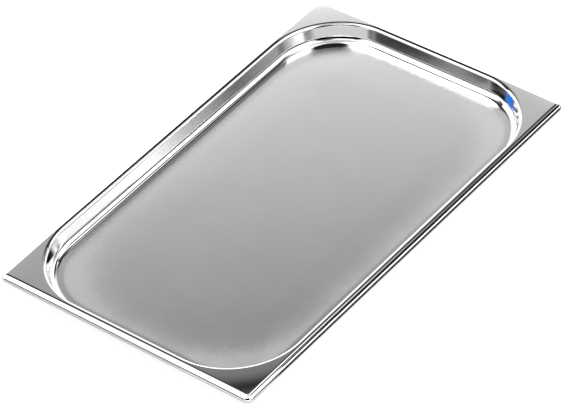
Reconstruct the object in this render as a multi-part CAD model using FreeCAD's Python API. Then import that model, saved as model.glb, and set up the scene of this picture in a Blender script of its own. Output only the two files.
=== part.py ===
import FreeCAD, Part
import math
import os

# Shallow full-size gastronorm food pan, deep drawn from one sheet of stainless
# steel: floor, wall, flange and turned-down rim are one solid.
#
# Frame: millimetres, +Z up. The origin is the centre of the underside of the
# floor. +X runs along the long side, +Y along the short side.

# ---- driving dimensions ----
LENGTH = 530.0         # over the rim, along X
WIDTH = 325.0          # over the rim, along Y
DEPTH = 20.0           # underside of the floor to the top of the flange
SHEET = 0.8            # sheet thickness

RIM_RADIUS = 6.0       # outside radius of the turned-down bend
RIM_DROP = 6.5         # top of the flange to the lower edge of the rim
RIM_CORNER = 7.5       # plan radius of the rim's corners, at its outside

FLANGE_LAND = 1.4      # flat width of the flange along the straight sides
MOUTH_CORNER = 84.0    # plan radius of the mouth, where the flange bends in
MOUTH_RADIUS = 3.5     # upper-face radius of the bend from flange to wall
WALL_DRAFT = 12.0      # wall lean from vertical, degrees
FLOOR_RADIUS = 8.0     # upper-face radius of the bend from wall to floor

# ---- derived sizes ----
FLAT_X = LENGTH / 2 - RIM_RADIUS     # half sizes of the flange's outer edge
FLAT_Y = WIDTH / 2 - RIM_RADIUS
FLAT_CORNER = RIM_CORNER - RIM_RADIUS
MOUTH_X = FLAT_X - FLANGE_LAND       # half sizes of the mouth line
MOUTH_Y = FLAT_Y - FLANGE_LAND

ORIGIN = FreeCAD.Vector(0, 0, 0)
UP = FreeCAD.Vector(0, 0, 1)


# ---- section helpers: sections are drawn in the XZ plane, +X outward ----
def polar_point(centre, radius, degrees):
    """Point on a circle in the XZ plane; the angle is from +X towards +Z."""
    angle = math.radians(degrees)
    return centre + FreeCAD.Vector(radius * math.cos(angle), 0, radius * math.sin(angle))


def section_arc(centre, radius, start, end):
    angles = (start, (start + end) / 2, end)
    return Part.Arc(*[polar_point(centre, radius, angle) for angle in angles]).toShape()


def line(start, end):
    return Part.LineSegment(start, end).toShape()


# ---- plan helpers ----
def corner_centres(half_x, half_y, radius):
    """Centre and start angle of each corner arc, anticlockwise from +X +Y."""
    x, y = half_x - radius, half_y - radius
    return [(x, y, 0), (-x, y, 90), (-x, -y, 180), (x, -y, 270)]


def rounded_rect(half_x, half_y, radius, z):
    """Face of a rounded rectangle in the plane at height z."""
    edges = []
    arc_ends = []
    for x, y, start in corner_centres(half_x, half_y, radius):
        points = []
        for degrees in (start, start + 45, start + 90):
            angle = math.radians(degrees)
            points.append(FreeCAD.Vector(
                x + radius * math.cos(angle), y + radius * math.sin(angle), z))
        edges.append(Part.Arc(*points).toShape())
        arc_ends.append((points[0], points[2]))
    for i in range(4):
        edges.append(line(arc_ends[i][1], arc_ends[(i + 1) % 4][0]))
    return Part.Face(Part.Wire(Part.__sortEdges__(edges)))


def ring(section, half_x, half_y, corner):
    """Pieces that carry a section round a rounded rectangle.

    The section's x = 0 follows the path. Straight runs are extruded and
    corners are turned about their centres.
    """
    straight_x, straight_y = half_x - corner, half_y - corner
    runs = [  # start x, start y, turn of the section, length
        (half_x, -straight_y, 0, 2 * straight_y),
        (straight_x, half_y, 90, 2 * straight_x),
        (-half_x, straight_y, 180, 2 * straight_y),
        (-straight_x, -half_y, 270, 2 * straight_x),
    ]
    pieces = []
    for x, y, turn, length in runs:
        face = section.copy()
        face.rotate(ORIGIN, UP, turn)
        face.translate(FreeCAD.Vector(x, y, 0))
        heading = math.radians(turn + 90)
        pieces.append(face.extrude(FreeCAD.Vector(
            length * math.cos(heading), length * math.sin(heading), 0)))
    for x, y, turn in corner_centres(half_x, half_y, corner):
        centre = FreeCAD.Vector(x, y, 0)
        face = section.copy()
        face.translate(FreeCAD.Vector(corner, 0, 0))
        face.rotate(ORIGIN, UP, turn)
        face.translate(centre)
        pieces.append(face.revolve(centre, UP, 90))
    return pieces


# ---- wall bend centres, with x measured outward from the mouth line ----
def wall_bend_centres():
    """Centres of the mouth bend and the floor bend."""
    draft = math.radians(WALL_DRAFT)
    mouth_centre = FreeCAD.Vector(0, 0, DEPTH - MOUTH_RADIUS)
    wall_top = polar_point(mouth_centre, MOUTH_RADIUS, 180 - WALL_DRAFT)
    floor_centre_z = SHEET + FLOOR_RADIUS
    wall_low_z = floor_centre_z - FLOOR_RADIUS * math.sin(draft)
    wall_low_x = wall_top.x - (wall_top.z - wall_low_z) * math.tan(draft)
    floor_centre_x = wall_low_x - FLOOR_RADIUS * math.cos(draft)
    return mouth_centre, FreeCAD.Vector(floor_centre_x, 0, floor_centre_z)


MOUTH_CENTRE, FLOOR_CENTRE = wall_bend_centres()


# ---- pieces of the sheet ----
def make_wall():
    """Bend from the flange, drafted wall and bend into the floor."""
    mouth_under = MOUTH_RADIUS - SHEET
    floor_under = FLOOR_RADIUS + SHEET
    wall_angle = 180 - WALL_DRAFT
    section = Part.Face(Part.Wire([
        section_arc(MOUTH_CENTRE, MOUTH_RADIUS, 90, wall_angle),
        line(polar_point(MOUTH_CENTRE, MOUTH_RADIUS, wall_angle),
             polar_point(FLOOR_CENTRE, FLOOR_RADIUS, -WALL_DRAFT)),
        section_arc(FLOOR_CENTRE, FLOOR_RADIUS, -WALL_DRAFT, -90),
        line(polar_point(FLOOR_CENTRE, FLOOR_RADIUS, -90),
             polar_point(FLOOR_CENTRE, floor_under, -90)),
        section_arc(FLOOR_CENTRE, floor_under, -90, -WALL_DRAFT),
        line(polar_point(FLOOR_CENTRE, floor_under, -WALL_DRAFT),
             polar_point(MOUTH_CENTRE, mouth_under, wall_angle)),
        section_arc(MOUTH_CENTRE, mouth_under, wall_angle, 90),
        line(polar_point(MOUTH_CENTRE, mouth_under, 90),
             polar_point(MOUTH_CENTRE, MOUTH_RADIUS, 90)),
    ]))
    return ring(section, MOUTH_X, MOUTH_Y, MOUTH_CORNER)


def make_rim():
    """Quarter bend turned down from the flange, then a short skirt."""
    centre = FreeCAD.Vector(0, 0, DEPTH - RIM_RADIUS)
    inside_radius = RIM_RADIUS - SHEET
    skirt_z = DEPTH - RIM_DROP
    skirt_outer = FreeCAD.Vector(RIM_RADIUS, 0, skirt_z)
    skirt_inner = FreeCAD.Vector(inside_radius, 0, skirt_z)
    section = Part.Face(Part.Wire([
        section_arc(centre, RIM_RADIUS, 90, 0),
        line(polar_point(centre, RIM_RADIUS, 0), skirt_outer),
        line(skirt_outer, skirt_inner),
        line(skirt_inner, polar_point(centre, inside_radius, 0)),
        section_arc(centre, inside_radius, 0, 90),
        line(polar_point(centre, inside_radius, 90), polar_point(centre, RIM_RADIUS, 90)),
    ]))
    return ring(section, FLAT_X, FLAT_Y, FLAT_CORNER)


def make_flange():
    """Flat panel between the rim and the mouth."""
    underside = DEPTH - SHEET
    outer = rounded_rect(FLAT_X, FLAT_Y, FLAT_CORNER, underside)
    mouth = rounded_rect(MOUTH_X, MOUTH_Y, MOUTH_CORNER, underside)
    return outer.cut(mouth).extrude(UP * SHEET)


def make_floor():
    """Flat panel inside the floor bend."""
    inset = -FLOOR_CENTRE.x
    panel = rounded_rect(MOUTH_X - inset, MOUTH_Y - inset, MOUTH_CORNER - inset, 0)
    return panel.extrude(UP * SHEET)


def make_pan():
    pieces = [make_flange()] + make_wall() + make_rim()
    pan = make_floor().multiFuse(pieces).removeSplitter()
    # The fuse may wrap its single solid in a compound.
    if pan.ShapeType == "Compound" and len(pan.Solids) == 1:
        pan = pan.Solids[0]
    if len(pan.Solids) != 1 or not pan.isValid():
        raise RuntimeError("the pan must be one valid solid")
    return pan


os.makedirs("parts", exist_ok=True)
make_pan().exportStep("parts/pan.step")
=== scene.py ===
"""A shallow rectangular pan of pressed stainless sheet.

It lies open side up on z = 0, centred on the origin, with its length along X and its width
along Y. A flat flange runs round the mouth: its outer edge is rolled down into a rim, and its
inner edge bends into a sloping wall that runs down to the floor of the pan.
The pan is worked out in mm and scaled to metres; stage, lights and camera are in metres.
"""
import math

import bmesh
import bpy
import numpy as np
from mathutils import Matrix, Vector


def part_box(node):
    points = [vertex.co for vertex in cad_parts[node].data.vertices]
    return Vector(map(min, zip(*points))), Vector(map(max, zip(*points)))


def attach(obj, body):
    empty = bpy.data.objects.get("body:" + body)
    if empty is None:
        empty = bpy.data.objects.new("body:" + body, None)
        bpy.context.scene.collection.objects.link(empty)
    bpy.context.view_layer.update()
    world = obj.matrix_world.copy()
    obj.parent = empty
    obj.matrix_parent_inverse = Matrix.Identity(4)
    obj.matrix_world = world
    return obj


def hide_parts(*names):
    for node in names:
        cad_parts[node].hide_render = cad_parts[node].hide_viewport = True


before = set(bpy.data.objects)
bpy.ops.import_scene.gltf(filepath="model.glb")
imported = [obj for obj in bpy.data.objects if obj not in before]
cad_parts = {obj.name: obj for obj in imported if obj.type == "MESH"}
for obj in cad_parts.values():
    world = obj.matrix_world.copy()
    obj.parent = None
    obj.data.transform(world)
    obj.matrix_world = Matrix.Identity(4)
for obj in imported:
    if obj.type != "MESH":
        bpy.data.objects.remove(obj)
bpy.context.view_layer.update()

# ------------------------------------------------------------------ pan sizes (mm)
BOX_LO, BOX_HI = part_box("pan")
LENGTH, WIDTH, DEPTH = [(BOX_HI[i] - BOX_LO[i]) * 1000.0 for i in range(3)]
SHEET = 0.8                      # thickness
RIM_R = 6.0                      # how far the rolled rim reaches out from the flange
RIM_DROP = 6.5                   # from the flange down to the rim's lower edge
RIM_CORNER = 7.5                 # plan radius of the rim's corners
EDGE_ROUND = 0.25                # height of the rounding under the rim
LIP_Z = DEPTH - RIM_DROP + EDGE_ROUND
LAND = 1.4                       # flange width along the straight sides
MOUTH_CORNER = 84.0              # plan radius of the mouth's corners
MOUTH_R = 3.5                    # bend from flange to wall
FLOOR_R = 8.0                    # bend from wall to floor
DRAFT_DEG = 12.0                 # slope of the wall off upright
WALL_DEG = 90 - DRAFT_DEG        # tilt of the wall's normal off +Z
SIN_DRAFT, COS_DRAFT = math.sin(math.radians(DRAFT_DEG)), math.cos(math.radians(DRAFT_DEG))

# the flange rolls into both bends over a short lead-in of wider radius
LEAD_DEG = 8.0
LEAD = math.radians(LEAD_DEG)
LEAD_STEPS = 5
RIM_IN = 0.95                    # start of the rim's lead-in, inside the rim outline
RIM_LEAD = 1.75                  # its length
MOUTH_LEAD_END = -0.85           # end of the mouth's lead-in, as an offset from the mouth outline
MOUTH_LEAD_DROP = 0.12
MOUTH_LEAD_SHORT = 0.9           # its length on the -X and -Y sides
MOUTH_LEAD_EXTRA = 1.4           # added on the +X and +Y sides

# plan outlines: half length, half width, corner radius
RIM = (LENGTH / 2 - RIM_R, WIDTH / 2 - RIM_R, RIM_CORNER - RIM_R)
MOUTH = (RIM[0] - LAND, RIM[1] - LAND, MOUTH_CORNER)

# the wall's straight part, as offsets from the mouth outline and heights
WALL_TOP = MOUTH_LEAD_END - MOUTH_R * (COS_DRAFT - math.sin(LEAD))
WALL_TOP_Z = DEPTH - MOUTH_LEAD_DROP - MOUTH_R * (math.cos(LEAD) - SIN_DRAFT)
FLOOR_BEND_Z = SHEET + FLOOR_R   # centre of the floor bend
WALL_FOOT_Z = FLOOR_BEND_Z - FLOOR_R * SIN_DRAFT
WALL_FOOT = WALL_TOP - (WALL_TOP_Z - WALL_FOOT_Z) * SIN_DRAFT / COS_DRAFT
FLOOR_EDGE = WALL_FOOT - FLOOR_R * COS_DRAFT

# points round one loop
N_ARC, N_LONG, N_SHORT = 44, 52, 30
N_LOOP = 4 * N_ARC + 2 * N_LONG + 2 * N_SHORT
N_FLANGE = 12                    # steps across the flange

# insets of the floor's concentric rings from the floor's edge
FLOOR_INSETS = (0.5, 1.1, 1.8, 2.6, 3.6, 5, 6.5, 9, 12, 15.5, 19.5, 24, 29, 35, 42)
BEND_POLISH = 0.85               # polish where the floor bend meets the wall and the floor

# unevenness of the pressed sheet
FLOOR_BOW = 0.09
# amplitude, cycles per metre along X and Y, phase
FLOOR_WAVES = ((0.04, 2.1, 0.7, 0.6), (0.025, -1.3, 3.1, 2.0), (0.012, 4.3, -2.2, 4.1))
CORNER_DROOP = 0.42              # drop at the flange's corner tips
DROOP_REACH, DROOP_POWER = 36.0, 3.4
SLOPE_STEP = 0.25                # half step for measuring the slope of the unevenness

EDGE_DEGREES = (30, 60, 90, 120, 150)   # rings round the rim's lower edge, from outside to inside


# ------------------------------------------------------------------ plan outlines
def grow(outline, offset):
    return tuple(size + offset for size in outline)


FLOOR = grow(MOUTH, FLOOR_EDGE)


def loop(outline, offset=0.0):
    """Points and outward normals of a grown outline, counter-clockwise from the +X side."""
    half_x, half_y, radius = grow(outline, offset)
    flat_x, flat_y = half_x - radius, half_y - radius
    # straight run's start, end, normal and steps, then the centre of the arc after it
    quarters = (
        ((half_x, -flat_y), (half_x, flat_y), (1, 0), N_SHORT, (flat_x, flat_y)),
        ((flat_x, half_y), (-flat_x, half_y), (0, 1), N_LONG, (-flat_x, flat_y)),
        ((-half_x, flat_y), (-half_x, -flat_y), (-1, 0), N_SHORT, (-flat_x, -flat_y)),
        ((-flat_x, -half_y), (flat_x, -half_y), (0, -1), N_LONG, (flat_x, -flat_y)),
    )
    points, outward = [], []
    for quarter, (start, end, normal, steps, centre) in enumerate(quarters):
        for i in range(steps):
            t = i / steps
            points.append([a + (b - a) * t for a, b in zip(start, end)])
            outward.append(normal)
        for i in range(N_ARC):
            angle = math.radians(90 * quarter + 90.0 * i / N_ARC)
            direction = (math.cos(angle), math.sin(angle))
            points.append([c + radius * d for c, d in zip(centre, direction)])
            outward.append(direction)
    return np.array(points, float), np.array(outward, float)


def inside(x, y, outline):
    """Distance from a point to the outline, positive inside."""
    half_x, half_y, radius = outline
    over_x, over_y = np.abs(x) - (half_x - radius), np.abs(y) - (half_y - radius)
    beyond = np.hypot(np.maximum(over_x, 0), np.maximum(over_y, 0))
    return radius - (beyond + np.minimum(np.maximum(over_x, over_y), 0))


def smooth(low, high, x):
    t = np.clip((x - low) / (high - low), 0, 1)
    return t * t * (3 - 2 * t)


def angles(first, last, count):
    """Evenly spaced angles, given in degrees and returned in radians."""
    return [math.radians(degrees) for degrees in np.linspace(first, last, count)]


# ------------------------------------------------------------------ upper skin
class Skin:
    """Rings of points with normals and polish, from the rim's lower edge in to the floor."""

    def __init__(self):
        self.points, self.normals, self.polish = [], [], []

    def ring(self, plan, outward, z, tilt, polish):
        """Tilt is the normal's lean off +Z, positive outwards."""
        self.points.append(np.column_stack([plan, np.full(N_LOOP, z)]))
        up = np.full(N_LOOP, math.cos(tilt))
        self.normals.append(np.column_stack([outward * math.sin(tilt), up]))
        self.polish.append(np.full(N_LOOP, float(polish)))

    def add(self, outline, offset, z, tilt, polish=1.0):
        plan, outward = loop(outline, offset)
        self.ring(plan, outward, z, tilt, polish)


def add_rim(skin):
    """Upright lip, the roll over its top and the lead-in to the flange."""
    bend_r = (RIM_R - (RIM_LEAD - RIM_IN)) / (1 - math.sin(LEAD))
    bend_z = DEPTH - RIM_LEAD * math.sin(LEAD / 2) - bend_r * math.cos(LEAD)
    for z in np.linspace(LIP_Z, bend_z, 3)[:-1]:
        skin.add(RIM, RIM_R, z, math.radians(90))
    for tilt in angles(90, LEAD_DEG, 18):
        offset = RIM_R - bend_r * (1 - math.sin(tilt))
        skin.add(RIM, offset, bend_z + bend_r * math.cos(tilt), tilt)
    # the lead-in is traced outwards from the flange, then added inwards without its outer end
    offset, z, lead = -RIM_IN, DEPTH, []
    for i in range(1, LEAD_STEPS + 1):
        tilt = LEAD * (i - 0.5) / LEAD_STEPS
        offset += RIM_LEAD / LEAD_STEPS * math.cos(tilt)
        z -= RIM_LEAD / LEAD_STEPS * math.sin(tilt)
        lead.append((offset, z, i / LEAD_STEPS))
    for offset, z, part in lead[-2::-1]:
        skin.add(RIM, offset, z, LEAD * part, smooth(0, 0.6, part))


def add_flange(skin):
    """Flat rings from the square outer loop to the rounded mouth, then the mouth's lead-in."""
    outer, _ = loop(RIM, -RIM_IN)
    mouth, outward = loop(MOUTH)
    side = (outward[:, 0] + outward[:, 1]) * 0.7071
    lead_length = MOUTH_LEAD_SHORT + MOUTH_LEAD_EXTRA * smooth(-0.5, 0.5, side)
    inner = mouth + outward * (MOUTH_LEAD_END + lead_length)[:, None]
    for k in range(N_FLANGE + 1):
        skin.ring(outer + (inner - outer) * (k / N_FLANGE), outward, DEPTH, 0, 0)
    for i in range(1, LEAD_STEPS + 1):
        part = i / LEAD_STEPS
        plan = mouth + outward * (MOUTH_LEAD_END + lead_length * (1 - part))[:, None]
        z = DEPTH - MOUTH_LEAD_DROP * part * part
        skin.ring(plan, outward, z, -LEAD * part, smooth(0, 0.6, part))


def add_wall(skin):
    """Bend at the mouth, straight sloping wall and bend into the floor."""
    for tilt in angles(LEAD_DEG, WALL_DEG, 14)[1:]:
        offset = MOUTH_LEAD_END - MOUTH_R * (math.sin(tilt) - math.sin(LEAD))
        z = DEPTH - MOUTH_LEAD_DROP - MOUTH_R * (math.cos(LEAD) - math.cos(tilt))
        skin.add(MOUTH, offset, z, -tilt)
    for t in np.linspace(0, 1, 8)[1:-1]:
        offset = WALL_TOP + (WALL_FOOT - WALL_TOP) * t
        z = WALL_TOP_Z + (WALL_FOOT_Z - WALL_TOP_Z) * t
        skin.add(MOUTH, offset, z, -math.radians(WALL_DEG))
    for tilt in angles(WALL_DEG, 0, 19):
        offset = FLOOR_EDGE + FLOOR_R * math.sin(tilt)
        z = FLOOR_BEND_Z - FLOOR_R * math.cos(tilt)
        polish = BEND_POLISH + (1 - BEND_POLISH) * smooth(0, 5, math.degrees(tilt))
        skin.add(MOUTH, offset, z, -tilt, polish)


def add_floor(skin):
    for inset in FLOOR_INSETS:
        polish = BEND_POLISH * (1 - smooth(0, 8.0, inset))
        skin.add(MOUTH, FLOOR_EDGE - inset, SHEET, 0, polish)


def middle_grid(ring):
    """Coons grid inside the last ring, cornered on the middles of the ring's arcs.

    Returns the new points and the quads; indices under N_LOOP are the ring's own points.
    """
    def side(start, steps):
        return [(start + i) % N_LOOP for i in range(steps + 1)]

    nu, nv = N_ARC + N_LONG, N_ARC + N_SHORT    # u runs along +X, v along +Y
    start = N_SHORT + N_ARC // 2                # middle of the +X +Y arc
    top = side(start, nu)[::-1]
    left = side(start + nu, nv)[::-1]
    bottom = side(start + nu + nv, nu)
    right = side(start + 2 * nu + nv, nv)

    index = np.zeros((nu + 1, nv + 1), int)
    index[0, :], index[nu, :] = left, right
    index[:, 0], index[:, nv] = bottom, top
    points = []
    for i in range(1, nu):
        for j in range(1, nv):
            u, v = i / nu, j / nv
            edges = ((1 - v) * ring[bottom[i]] + v * ring[top[i]]
                     + (1 - u) * ring[left[j]] + u * ring[right[j]])
            corners = ((1 - u) * (1 - v) * ring[bottom[0]] + u * (1 - v) * ring[bottom[nu]]
                       + (1 - u) * v * ring[top[0]] + u * v * ring[top[nu]])
            index[i, j] = N_LOOP + len(points)
            points.append(edges - corners)
    quads = [(index[i, j], index[i + 1, j], index[i + 1, j + 1], index[i, j + 1])
             for i in range(nu) for j in range(nv)]
    return np.array(points), quads


# ------------------------------------------------------------------ unevenness
def corner_droop(x, y):
    """How far the flange goes down, growing with the distance out from the mouth."""
    out = -inside(x, y, MOUTH)
    return -CORNER_DROOP * np.clip(out / DROOP_REACH, 0, 1) ** DROOP_POWER


def lift(points, normals):
    """Change of height: the floor bows slightly and the flange's corners droop."""
    x, y, z = points.T
    level = normals[:, 2] > 0.999
    on_floor = (z < SHEET + 0.01) & level
    on_flange = (z > DEPTH - 0.001) & level
    waves = 0 * x
    for amplitude, along_x, along_y, phase in FLOOR_WAVES:
        turn = 2 * math.pi * (x * along_x + y * along_y) / 1000.0
        waves = waves + amplitude * np.sin(turn + phase)
    bow = (FLOOR_BOW + waves) * smooth(4, 60, inside(x, y, FLOOR)) * on_floor
    return bow + corner_droop(x, y) * on_flange


def make_uneven(points, normals, rim_count):
    """Lifts the points in place and returns the normals tilted to match."""
    slope = np.zeros_like(points)
    for axis in (0, 1):
        step = np.zeros(3)
        step[axis] = SLOPE_STEP
        rise = lift(points + step, normals) - lift(points - step, normals)
        slope[:, axis] = rise / (2 * SLOPE_STEP)
    points[:, 2] += lift(points, normals)
    points[:rim_count * N_LOOP, 2] += np.tile(rim_droop(), rim_count)
    normals = normals - slope
    return normals / np.linalg.norm(normals, axis=1)[:, None]


def rim_droop():
    """The rim goes down with each point of the flange's outer loop."""
    outer, _ = loop(RIM, -RIM_IN)
    return corner_droop(outer[:, 0], outer[:, 1])


# ------------------------------------------------------------------ pan mesh
def new_object(name, points, faces):
    mesh = bpy.data.meshes.new(name)
    mesh.from_pydata(points, [], faces)
    made = bpy.data.objects.new(name, mesh)
    bpy.context.scene.collection.objects.link(made)
    return made


def edge_rings():
    """Points and normals round the rim's lower edge, over the sheet's thickness."""
    points, normals = [], []
    radius = SHEET / 2
    for angle in angles(EDGE_DEGREES[0], EDGE_DEGREES[-1], len(EDGE_DEGREES)):
        plan, outward = loop(RIM, RIM_R - radius + radius * math.cos(angle))
        points.append(np.column_stack([plan, LIP_Z - EDGE_ROUND * math.sin(angle) + rim_droop()]))
        down = np.full(N_LOOP, -math.sin(angle))
        normals.append(np.column_stack([outward * math.cos(angle), down]))
    return points, normals


def sheet_faces(ring_count, quads, skin_size):
    """Faces of both skins and of the edge that joins them under the rim."""
    faces = []
    for k in range(ring_count - 1):
        for i in range(N_LOOP):
            j = (i + 1) % N_LOOP
            here, ahead = k * N_LOOP, (k + 1) * N_LOOP
            a, b, c, d = here + i, here + j, ahead + j, ahead + i
            faces.append((a, b, c, d))
            faces.append((skin_size + a, skin_size + d, skin_size + c, skin_size + b))
    last_ring = (ring_count - 1) * N_LOOP
    for quad in quads:
        upper = [last_ring + i for i in quad]
        faces.append(tuple(upper))
        faces.append(tuple(skin_size + i for i in upper[::-1]))
    edges = [2 * skin_size + k * N_LOOP for k in range(len(EDGE_DEGREES))]
    chain = [0] + edges + [skin_size]
    for start, following in zip(chain[:-1], chain[1:]):
        for i in range(N_LOOP):
            j = (i + 1) % N_LOOP
            faces.append((start + i, following + i, following + j, start + j))
    return faces


def add_attribute(mesh, name, values):
    attribute = mesh.attributes.new(name, "FLOAT", "POINT")
    attribute.data.foreach_set("value", values.astype(np.float32))


def build_pan():
    skin = Skin()
    add_rim(skin)
    rim_count = len(skin.points)
    add_flange(skin)
    add_wall(skin)
    add_floor(skin)
    ring_count = len(skin.points)
    middle, quads = middle_grid(skin.points[-1])
    upper = np.vstack(skin.points + [middle])
    normals = np.vstack(skin.normals + [np.tile([0.0, 0.0, 1.0], (len(middle), 1))])
    polish = np.concatenate(skin.polish + [np.zeros(len(middle))])

    normals = make_uneven(upper, normals, rim_count)
    lower = upper - normals * SHEET
    edge_points, edge_normals = edge_rings()
    points = np.vstack([upper, lower] + edge_points)
    faces = sheet_faces(ring_count, quads, len(upper))
    pan = new_object("pan_sheet", (points / 1000).tolist(), faces)
    mesh = pan.data
    mesh.update()

    edge_polish = np.ones(N_LOOP * len(EDGE_DEGREES))
    add_attribute(mesh, "polish", np.concatenate([polish, np.zeros(len(lower)), edge_polish]))
    x, y, z = points.T
    add_attribute(mesh, "flange", (z > DEPTH - 1.6) & (inside(x, y, grow(MOUTH, -1.0)) < 0))

    shell = bmesh.new()
    shell.from_mesh(mesh)
    bmesh.ops.recalc_face_normals(shell, faces=shell.faces)
    shell.to_mesh(mesh)
    shell.free()
    for face in mesh.polygons:
        face.use_smooth = True
    # shading normals straight from the surface, so the bends read as true arcs
    shading = np.vstack([normals, -normals] + edge_normals)
    mesh.normals_split_custom_set_from_vertices(shading.tolist())
    return pan


# ------------------------------------------------------------------ shader helpers
class Signal:
    """A node's output. Arithmetic on it adds Math nodes."""

    def __init__(self, graph, socket):
        self.graph, self.socket = graph, socket

    def math(self, operation, *others):
        return self.graph.math(operation, self, *others)

    def __add__(self, other):
        return self.math("ADD", other)

    def __radd__(self, other):
        return self.graph.math("ADD", other, self)

    def __sub__(self, other):
        return self.math("SUBTRACT", other)

    def __rsub__(self, other):
        return self.graph.math("SUBTRACT", other, self)

    def __mul__(self, other):
        return self.math("MULTIPLY", other)

    def __rmul__(self, other):
        return self.graph.math("MULTIPLY", other, self)

    def __truediv__(self, other):
        return self.math("DIVIDE", other)

    def __pow__(self, other):
        return self.math("POWER", other)


class Graph:
    """An emptied node tree and short ways to add nodes to it."""

    def __init__(self, owner):
        owner.use_nodes = True
        self.tree = owner.node_tree
        self.tree.nodes.clear()

    def add(self, kind, inputs=None, **settings):
        """Adds a node. Inputs, by name or number, are Signals to link or plain values."""
        node = self.tree.nodes.new("ShaderNode" + kind)
        for name, value in settings.items():
            setattr(node, name, value)
        for key, value in (inputs or {}).items():
            if isinstance(value, Signal):
                self.tree.links.new(value.socket, node.inputs[key])
            else:
                node.inputs[key].default_value = value
        return node

    def out(self, node, key=0):
        return Signal(self, node.outputs[key])

    def math(self, operation, *values):
        return self.out(self.add("Math", dict(enumerate(values)), operation=operation))

    def attribute(self, name):
        return self.out(self.add("Attribute", attribute_name=name), "Fac")

    def split(self, vector):
        node = self.add("SeparateXYZ", {0: vector})
        return [self.out(node, axis) for axis in "XYZ"]

    def map_range(self, x, low, high, **settings):
        """0 at low to 1 at high."""
        inputs = {"From Min": low, "From Max": high, "Value": x}
        return self.out(self.add("MapRange", inputs, **settings))

    def table(self, x, stops):
        """Piecewise linear table of (x, value) stops."""
        low, high = stops[0][0], stops[-1][0]
        top = max(value for _, value in stops)
        node = self.add("ValToRGB", {0: self.map_range(x, low, high)})
        elements = node.color_ramp.elements
        while len(elements) < len(stops):
            elements.new(0.5)
        for element, (place, value) in zip(elements, stops):
            element.position = (place - low) / (high - low)
            element.color = (value / top, value / top, value / top, 1)
        return self.out(node) * top


def mix(a, b, share):
    return a * (1.0 - share) + b * share


# ------------------------------------------------------------------ stainless steel
ROUGH_FLOOR, ROUGH_DRAWN, ROUGH_FLANGE, ROUGH_POLISH = 0.205, 0.30, 0.09, 0.025
ROUGH_LEAST = 0.015
DRAWN_R = 118.0        # mm, corner radius of the coarser band's shape
DRAWN_REACH = 0.022    # m, how far in from the floor's edge it fades
DRAWN_POWER = 1.6
DRAWN_TOP = 0.0025     # m, the band stays below this height
BUMP_DISTANCE = 0.000004


def drawn_band(graph, place):
    """1 at the floor's edge, fading inwards, and widest at the corners."""
    x, y, z = graph.split(place)
    over_x = x.math("ABSOLUTE") - (FLOOR[0] - DRAWN_R) / 1000
    over_y = y.math("ABSOLUTE") - (FLOOR[1] - DRAWN_R) / 1000
    out_x, out_y = over_x.math("MAXIMUM", 0.0), over_y.math("MAXIMUM", 0.0)
    reach = (out_x * out_x + out_y * out_y).math("SQRT")
    within = DRAWN_R / 1000 - (reach + over_x.math("MAXIMUM", over_y).math("MINIMUM", 0.0))
    fade = (within.math("MAXIMUM", 0.0) / DRAWN_REACH) ** DRAWN_POWER
    return (fade * -1.0).math("EXPONENT") * z.math("LESS_THAN", DRAWN_TOP)


def stainless():
    material = bpy.data.materials.new("stainless")
    graph = Graph(material)
    place = graph.out(graph.add("TexCoord"), "Object")

    def noise(scale, detail, stretch=(1, 1, 1), turn=0.0):
        """Fractal noise about 0: scale per metre, stretched and turned (degrees) in plan."""
        turned = graph.add("Mapping", {"Scale": stretch, "Rotation": (0, 0, math.radians(turn)),
                                       "Vector": place})
        inputs = {"Scale": scale, "Detail": detail, "Vector": graph.out(turned)}
        return graph.out(graph.add("TexNoise", inputs)) - 0.5

    def hairlines(turn, scale, crest):
        """Faint long scratches: only the crests of a stretched noise."""
        lines = noise(scale, detail=1.0, stretch=(0.02, 1.0, 1.0), turn=turn)
        return graph.map_range(lines, crest, crest + 0.03)

    # smears, finer clouding, grain along the length, and two sets of scratches
    mottle = noise(16.0, detail=4.0)
    cloud = noise(70.0, detail=3.0)
    grain = noise(1500.0, detail=2.0, stretch=(0.06, 1.0, 1.0))
    marks = hairlines(turn=24.0, scale=420.0, crest=0.255).math(
        "MAXIMUM", hairlines(turn=-61.0, scale=380.0, crest=0.265))

    rough_floor = mix(ROUGH_FLOOR, ROUGH_DRAWN, drawn_band(graph, place))
    rough_satin = mix(rough_floor, ROUGH_FLANGE, graph.attribute("flange"))
    uneven = (mottle * 0.05 + cloud * 0.025) + (grain * 0.05 + marks * 0.03)
    rough_satin = rough_satin + uneven
    rough_bend = ROUGH_POLISH + ((cloud + 0.2) * 0.02 + marks * 0.05)
    roughness = mix(rough_satin, rough_bend, graph.attribute("polish"))

    # the grain stands up where the sheet isn't polished, and the scratches are cut in
    satin = 1.0 - graph.attribute("polish")
    relief = (grain * satin) * 0.55 + marks * -0.08
    bump = graph.add("Bump", {"Strength": 1.0, "Distance": BUMP_DISTANCE, "Height": relief})
    metal = graph.add("BsdfMetallic", distribution="BECKMANN", fresnel_type="F82", inputs={
        "Base Color": (0.63, 0.624, 0.628, 1),
        "Edge Tint": (0.9, 0.9, 0.9, 1),
        "Roughness": roughness.math("MAXIMUM", ROUGH_LEAST),
        "Normal": graph.out(bump),
    })
    graph.add("OutputMaterial", {0: graph.out(metal)})
    return material


# ------------------------------------------------------------------ stage floor
FLOOR_HALF = 30.0
FLOOR_Z = -0.0002      # just under the pan


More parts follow.
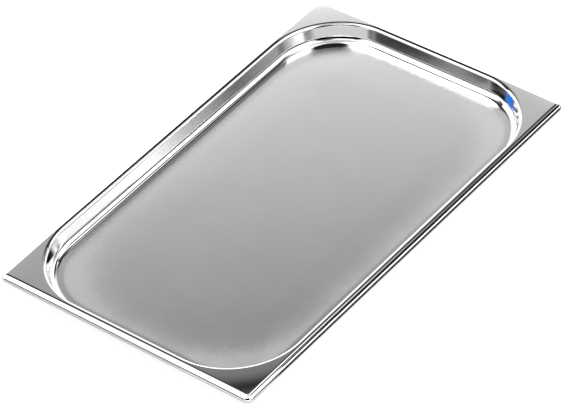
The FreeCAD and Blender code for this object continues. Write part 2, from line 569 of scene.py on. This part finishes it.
def stage_floor():
    half = FLOOR_HALF
    corners = [(-half, -half, 0), (half, -half, 0), (half, half, 0), (-half, half, 0)]
    ground = new_object("stage_floor", corners, [(0, 1, 2, 3)])
    ground.location = (0, 0, FLOOR_Z)
    material = bpy.data.materials.new("stage_floor")
    material.use_nodes = True
    inputs = material.node_tree.nodes["Principled BSDF"].inputs
    inputs["Base Color"].default_value = (0.16, 0.16, 0.16, 1)
    inputs["Emission Color"].default_value = (1, 1, 1, 1)
    inputs["Emission Strength"].default_value = 0.86
    inputs["Roughness"].default_value = 0.9
    inputs["Specular IOR Level"].default_value = 0.0
    ground.data.materials.append(material)


# ------------------------------------------------------------------ world: a soft white tent
BOUNCE_SPLIT = 1.5     # glossy depth between rays straight off the pan and later bounces
CAMERA_LEVEL = 1.06    # brightness the camera sees directly

# elevation (degrees), brightness
AROUND = [(-90, 2.4), (15, 2.6), (48, 3.0), (56, 3.4), (90, 3.4)]
# beyond the pan from the camera: a backdrop that falls off upwards, then a dark room
BEHIND = [(0, 3.2), (11, 3.0), (15, 2.6), (20, 2.7), (26, 2.8), (31, 2.7), (34, 2.05),
          (36, 1.32), (38.8, 1.14), (39.5, 0.98), (40.1, 0.78), (42, 0.58), (43.2, 0.44),
          (44, 0.33), (44.8, 0.13), (45.5, 0.03), (74, 0.03), (82, 3.4), (90, 3.4)]
BEHIND_AZIMUTH = (42, 29, 11)

# Darker patches, all in degrees. Azimuth: centre, half width, soft edge. Elevation: rises over
# the first pair, falls over the second. Then the rays that see it and the share of light kept.
DIM_PATCHES = (
    ((-20, 18, 8), (48, 50, 56.5, 58.5), "any", 0.14),
    ((-135, 32, 14), (52, 54, 84, 86), "again", 0.01),
    ((-150, 30, 14), (7, 16, 38, 62), "first", 0.0),
    ((-134, 62, 22), (-2, 4, 30, 42), "again", 0.58),
    ((-106, 3, 8), (-2, 4, 30, 42), "again", 0.45),
    ((-131, 6, 12), (40, 50, 64, 84), "first", 0.14),
    ((-72, 26, 10), (-20, -7, 9, 14), "any", 0.03),
    ((165, 22, 10), (0, 9, 15, 24), "first", 0.2),
    ((-8, 24, 8), (51, 54, 64, 68), "first", 0.14),
    ((84, 14, 8), (44, 48, 60, 64), "first", 0.1),
    ((147, 10, 8), (-12, -5, 10, 14), "first", 0.03),
    ((-4, 10, 15), (20, 27, 37, 43), "any", 0.02),
    ((16, 14, 14), (16, 24, 40, 46), "again", 0.02),
    ((128, 24, 8), (49, 50, 51.5, 52.5), "any", 0.6),
    ((114, 22, 8), (11, 17, 33, 40), "again", 0.12),
)
BLUE_PATCH = ((110, 13, 6), (13, 18, 33, 38), "again")
BLUE = (0.3, 1.5, 5.2, 1)


def build_world():
    world = bpy.data.worlds.new("tent")
    bpy.context.scene.world = world
    graph = Graph(world)
    x, y, z = graph.split(graph.out(graph.add("TexCoord"), "Generated"))
    elevation = z.math("ARCSINE") * (180 / math.pi)
    azimuth = y.math("ARCTAN2", x) * (180 / math.pi)

    def ease(value, low, high):
        return graph.map_range(value, low, high, interpolation_type="SMOOTHSTEP")

    def azimuth_window(centre, half, soft):
        away = (azimuth - centre).math("WRAP", 180.0, -180.0).math("ABSOLUTE")
        return 1.0 - ease(away, half, half + soft)

    def elevation_window(rise_from, rise_to, fall_from, fall_to):
        return ease(elevation, rise_from, rise_to) * (1.0 - ease(elevation, fall_from, fall_to))

    level = mix(graph.table(elevation, AROUND), graph.table(elevation, BEHIND),
                azimuth_window(*BEHIND_AZIMUTH))
    path = graph.add("LightPath")
    again = graph.out(path, "Glossy Depth").math("GREATER_THAN", BOUNCE_SPLIT)
    seen_by = {"again": again, "first": 1.0 - again}

    def patch(azimuths, elevations, rays):
        area = azimuth_window(*azimuths) * elevation_window(*elevations)
        return area if rays == "any" else area * seen_by[rays]

    for azimuths, elevations, rays, keep in DIM_PATCHES:
        level = level * (1.0 - patch(azimuths, elevations, rays) * (1.0 - keep))
    camera_level = graph.math("MULTIPLY", 1.0, CAMERA_LEVEL)
    level = mix(level, camera_level, graph.out(path, "Is Camera Ray"))

    tint = graph.add("Mix", data_type="RGBA", inputs={
        "A": (1, 1, 1, 1), "B": BLUE, "Factor": patch(*BLUE_PATCH)})
    background = graph.add("Background", {"Strength": level, "Color": graph.out(tint, "Result")})
    graph.add("OutputWorld", {0: graph.out(background)})


# ------------------------------------------------------------------ cards only reflections see
def flat_card(z, corners):
    return [(x, y, z) for x, y in corners]


def card_facing_y(y, corners):
    return [(x, y, z) for x, z in corners]


def card_facing_x(x, corners):
    return [(x, y, z) for y, z in corners]


def flag(name, corners, shade=0.01, along=None, stops=None, rays="any"):
    """A card seen only by mirror rays.

    It has one plain shade, or a table (stops) of shade against the distance in metres along a
    direction. Rays "first" sees it only straight off the pan, "again" only by way of a second
    bounce inside the pan.
    """
    card = new_object(name, corners, [tuple(range(len(corners)))])
    material = bpy.data.materials.new(name)
    graph = Graph(material)
    glow = graph.add("Emission", {"Color": (1, 1, 1, 1), "Strength": shade})
    if stops:
        position = graph.out(graph.add("NewGeometry"), "Position")
        dot = graph.add("VectorMath", {0: position, 1: along}, operation="DOT_PRODUCT")
        strength = graph.table(graph.out(dot, "Value"), stops)
        graph.tree.links.new(strength.socket, glow.inputs["Strength"])
    surface = graph.out(glow)
    if rays != "any":
        hidden_when = "GREATER_THAN" if rays == "first" else "LESS_THAN"
        depth = graph.out(graph.add("LightPath"), "Glossy Depth")
        hidden = depth.math(hidden_when, BOUNCE_SPLIT)
        clear = graph.out(graph.add("BsdfTransparent"))
        surface = graph.out(graph.add("MixShader", {0: hidden, 1: surface, 2: clear}))
    graph.add("OutputMaterial", {0: surface})
    card.data.materials.append(material)
    card.visible_camera = False
    card.visible_diffuse = False
    card.visible_shadow = False


def build_flags():
    table_z = 0.0006   # cards lying just above the stage floor

    # overhead panel, fading towards +X +Y
    flag("panel_top", flat_card(1.75, [(1.95, -0.05), (-1.2, 3.1), (-2.2, 2.3), (0.15, -0.05)]),
         along=(1, 1, 0), stops=[(0.1, 3.4), (0.95, 3.4), (1.2, 1.9), (1.42, 0.4),
                                 (1.7, 0.12), (1.95, 0.05)])
    # bright lamp just under the panel
    flag("panel_lamp", flat_card(1.74, [(0.15, 0.2), (0.15, 1.15), (-0.8, 1.15), (-0.8, 0.2)]),
         shade=14.0, rays="again")
    # softly graded grey card straight overhead, so the floor isn't blown out from above
    flag("card_top", flat_card(1.7, [(-0.7, -0.55), (0.62, -0.55), (0.62, 0.5), (-0.7, 0.5)]),
         along=(1, 1, 0), stops=[(-1.2, 1.3), (-0.4, 1.1), (0.4, 0.75), (1.2, 0.5)],
         rays="first")
    # long low upright card on the -Y side
    flag("flag_front", card_facing_y(-0.195, [
        (-0.18, 0.044), (0.12, 0.044), (0.22, 0.038), (1.7, 0.035), (1.7, 0.145),
        (0.1, 0.14), (-0.05, 0.115), (-0.12, 0.09), (-0.18, 0.08)]), rays="first")
    # taller upright card on the -Y side, graded along X
    flag("flag_wall", card_facing_y(-0.196, [(0.15, 0.03), (0.7, 0.03), (0.7, 0.36), (0.15, 0.30)]),
         along=(1, 0, 0), rays="again",
         stops=[(0.15, 3.0), (0.19, 2.9), (0.21, 2.6), (0.23, 2.2), (0.25, 1.75), (0.27, 1.3),
                (0.30, 1.0), (0.325, 0.85), (0.35, 0.4), (0.375, 0.28), (0.40, 0.5),
                (0.43, 0.8), (0.7, 1.2)])
    # on the stage floor: a wide card at -Y, then two narrow strips at -X
    flag("flag_table", flat_card(table_z, [(-0.2, -0.6), (1.0, -0.6), (1.0, -0.182),
                                           (-0.2, -0.182)]), rays="first")
    flag("flag_side", flat_card(table_z, [(-0.32, -0.05), (-0.30, -0.05), (-0.30, 0.28),
                                          (-0.32, 0.28)]), shade=0.25)
    # painted shade: a dark strip lying on the floor just under the -X rim, standing in for the
    # floor the pan shades there; only the rim's reflection shows it
    flag("painted_shade_under_rim", flat_card(table_z, [(-0.277, -0.155), (-0.262, -0.155), (-0.262, 0.155),
                                           (-0.277, 0.155)]), shade=0.1)
    # upright card on the -X side, rising towards +Y and graded along Y
    flag("flag_back", card_facing_x(-0.30, [
        (0.22, 0.07), (1.2, 0.07), (1.2, 0.8), (0.55, 0.66), (0.47, 0.55), (0.41, 0.44),
        (0.36, 0.38), (0.31, 0.33), (0.22, 0.33)]),
         along=(0, 1, 0), rays="again",
         stops=[(0.22, 0.12), (0.27, 0.14), (0.28, 0.38), (0.29, 0.9), (0.30, 0.82),
                (0.31, 0.52), (0.32, 0.34), (0.33, 0.23), (0.35, 0.125), (0.37, 0.085),
                (0.39, 0.055), (0.5, 0.04)])


# ------------------------------------------------------------------ camera and view
SENSOR_WIDTH, LENS = 36.0, 235.295
# columns: the camera's right, up and backward directions, then its place
CAMERA_MATRIX = (
    (0.6170271, 0.5583035, -0.5545942, -2.104615),
    (-0.7828972, 0.3641453, -0.5044504, -1.905219),
    (-0.0796836, 0.7454498, 0.6617817, 2.505884),
    (0, 0, 0, 1),
)


def build_camera():
    lens = bpy.data.cameras.new("camera")
    camera = bpy.data.objects.new("camera", lens)
    bpy.context.scene.collection.objects.link(camera)
    lens.sensor_width = SENSOR_WIDTH
    lens.lens = LENS
    camera.matrix_world = Matrix(CAMERA_MATRIX)
    bpy.context.scene.camera = camera
    view = bpy.context.scene.view_settings
    view.view_transform = "Standard"
    view.look = "None"
    view.exposure = 0.0
    view.gamma = 1.0


# ------------------------------------------------------------------ build
pan = build_pan()
pan.data.materials.append(stainless())
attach(pan, "root")
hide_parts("pan")

stage_floor()
build_world()
build_flags()
build_camera()
